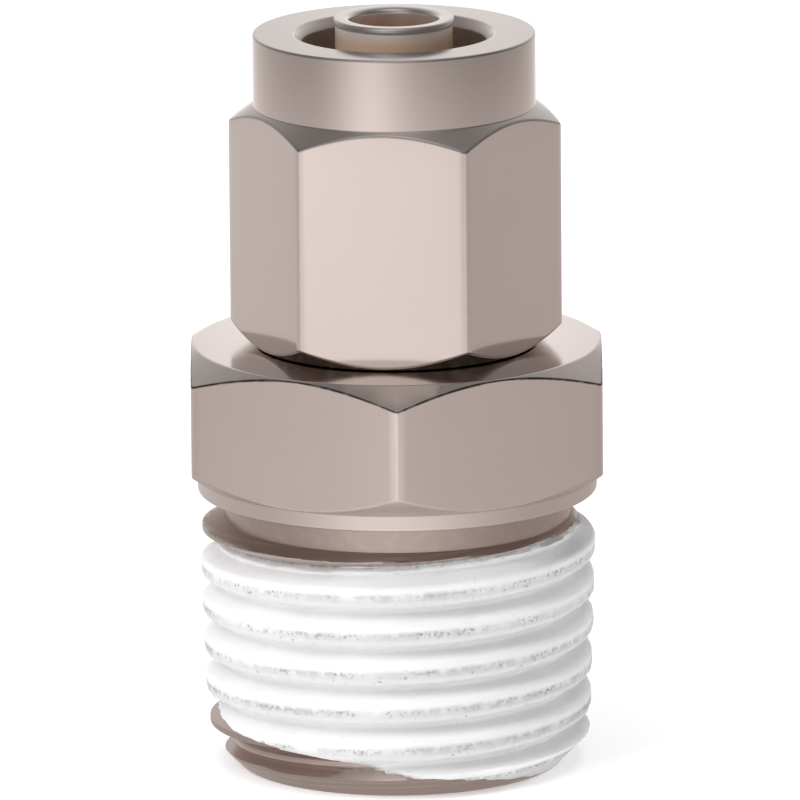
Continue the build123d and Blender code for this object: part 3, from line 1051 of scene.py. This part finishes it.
# %% A soft patch of light
patch, given, wanted = new_group(
    "soft_patch",
    {
        "Direction": ("NodeSocketVector", None),
        "Towards": ("NodeSocketVector", None),
        "Sharpness": ("NodeSocketFloat", 5.0),
        "Strength": ("NodeSocketFloat", 1.0),
    },
    {"Light": "NodeSocketFloat"},
)
pair = {0: given["Direction"], 1: given["Towards"]}
facing = put(patch, "ShaderNodeVectorMath", pair, operation="DOT_PRODUCT").outputs["Value"]
fall = times(patch, maths(patch, "SUBTRACT", facing, 1.0), given["Sharpness"])
patch_light = times(patch, maths(patch, "EXPONENT", fall, 0.0), given["Strength"])
patch.links.new(patch_light, wanted["Light"])
print("soft_patch has", len(patch.nodes), "nodes")

# %% [markdown]
# A patch's light falls as e to the power of sharpness (facing - 1), where facing is the cosine of
# the angle from its middle. The patches are a list that is easy to change: where each one hangs,
# how wide it is and how strong.

# %% Where the patches hang
tent_radius = 32 * mm
tent_height = 12.8 * mm
patches = [
    # azimuth from the front, elevation, spread in degrees, strength
    (-20, 16, 17, 0.41),
    (-12, -36, 26, 0.365),
    (20, -22, 24, 0.12),
    (-3, -10, 46, 0.16),
    (-95, 0, 34, 0.09),
    (115, -5, 30, 0.08),
    (-138, -12, 28, 0.15),
    (180, 28, 27, 0.48),
    (150, 45, 22, 0.22),
    (-145, 42, 22, 0.10),
    (180, 12, 13, 0.42),
    (0, 68, 13, 0.45),
]
cloth_low = 0.40
cloth_high = 0.05
cloth_colour = (1, 0.87, 0.835, 1)
patch_colour = (1, 0.975, 0.965, 1)


def towards(azimuth, elevation):
    """A unit vector: azimuth is turned from the front (-Y) towards +X, elevation up from level."""
    turn = radians(azimuth)
    lift = radians(elevation)
    return (sin(turn) * cos(lift), -cos(turn) * cos(lift), sin(lift))


print(len(patches), "patches")

# %% Cloth tent that the metal reflects
tent_mesh = bpy.data.meshes.new("cloth_tent")
sphere = bmesh.new()
bmesh.ops.create_uvsphere(sphere, u_segments=96, v_segments=48, radius=tent_radius)
sphere.to_mesh(tent_mesh)
sphere.free()
tent_mesh.transform(Matrix.Translation((0, 0, tent_height)))
tent_mesh.shade_smooth()
tent = placed("cloth_tent", tent_mesh)
tent.visible_camera = False
tent.visible_diffuse = False
tent.visible_shadow = False
tent.visible_transmission = False
cloth = bpy.data.materials.new("tent_cloth")
cloth.use_nodes = True
tree = cloth.node_tree
tree.nodes.remove(tree.nodes["Principled BSDF"])
place = put(tree, "ShaderNodeTexCoord").outputs["Object"]
ends = {0: place, 1: (0, 0, tent_height)}
moved = put(tree, "ShaderNodeVectorMath", ends, operation="SUBTRACT").outputs[0]
direction = put(tree, "ShaderNodeVectorMath", {0: moved}, operation="NORMALIZE").outputs[0]
above = put(tree, "ShaderNodeSeparateXYZ", {0: direction}).outputs[2]
cloth_light = spread(tree, above, 0.10, 0.35, cloth_low, cloth_high)
light = 0.0
for azimuth, elevation, width, strength in patches:
    one_patch = {
        "Direction": direction,
        "Towards": towards(azimuth, elevation),
        "Sharpness": 1 / radians(width) ** 2,
        "Strength": strength,
    }
    light = plus(tree, light, filled(tree, patch, one_patch)["Light"])
warm = {"Color": cloth_colour, "Strength": cloth_light}
warm = put(tree, "ShaderNodeEmission", warm).outputs[0]
cool = {"Color": patch_colour, "Strength": light}
cool = put(tree, "ShaderNodeEmission", cool).outputs[0]
both = put(tree, "ShaderNodeAddShader", {0: warm, 1: cool}).outputs[0]
tree.links.new(both, tree.nodes["Material Output"].inputs["Surface"])
tent_mesh.materials.append(cloth)
print("tent radius", round(tent_radius / mm), "mm")

# %% [markdown]
# The fitting stands on a white floor that glows a little, so that its shadow stays pale. The white
# sealant isn't a mirror: a large soft lamp from the left, another from above and the white room
# light it.

# %% Floor
half_floor = 3
corners = ((-1, -1), (1, -1), (1, 1), (-1, 1))
floor_points = [(half_floor * x, half_floor * y, 0) for x, y in corners]
floor_mesh = bpy.data.meshes.new("floor")
floor_mesh.from_pydata(floor_points, [], [(0, 1, 2, 3)])
floor_piece = placed("floor", floor_mesh)
floor_piece.visible_glossy = False
paint = bpy.data.materials.new("floor_paint")
paint.use_nodes = True
paint_inputs = paint.node_tree.nodes["Principled BSDF"].inputs
paint_inputs["Base Color"].default_value = (0.93, 0.93, 0.93, 1)
paint_inputs["Roughness"].default_value = 0.9
paint_inputs["Emission Color"].default_value = (1, 1, 1, 1)
paint_inputs["Emission Strength"].default_value = 0.32
floor_mesh.materials.append(paint)
print("floor", 2 * half_floor, "m wide")

# %% Lamps and white room
lamp_aim = Vector((0, 0, 6 * mm))


def lamp(name, azimuth, elevation, away, size, power):
    """A square soft lamp that looks at the fitting, and that the metal doesn't mirror."""
    data = bpy.data.lights.new(name, "AREA")
    data.size = size
    data.energy = power
    item = placed(name, data)
    item.visible_glossy = False
    item.visible_camera = False
    way = Vector(towards(azimuth, elevation))
    turned = way.to_track_quat("Z", "Y").to_matrix().to_4x4()
    item.matrix_world = Matrix.Translation(way * away + lamp_aim) @ turned
    print(name, power, "W")


lamp("key_lamp", azimuth=-48, elevation=40, away=0.5, size=0.26, power=1.2)
lamp("top_lamp", azimuth=-10, elevation=84, away=0.6, size=0.6, power=2.4)
world = bpy.data.worlds.new("white_room")
bpy.context.scene.world = world
world.use_nodes = True
sky = world.node_tree
seen = put(sky, "ShaderNodeLightPath").outputs["Is Camera Ray"]
sky.links.new(spread(sky, seen, 0.0, 1.0, 0.31, 1.0), sky.nodes["Background"].inputs["Strength"])
sky.nodes["Background"].inputs["Color"].default_value = (1, 1, 1, 1)
bpy.context.scene.view_settings.view_transform = "Standard"
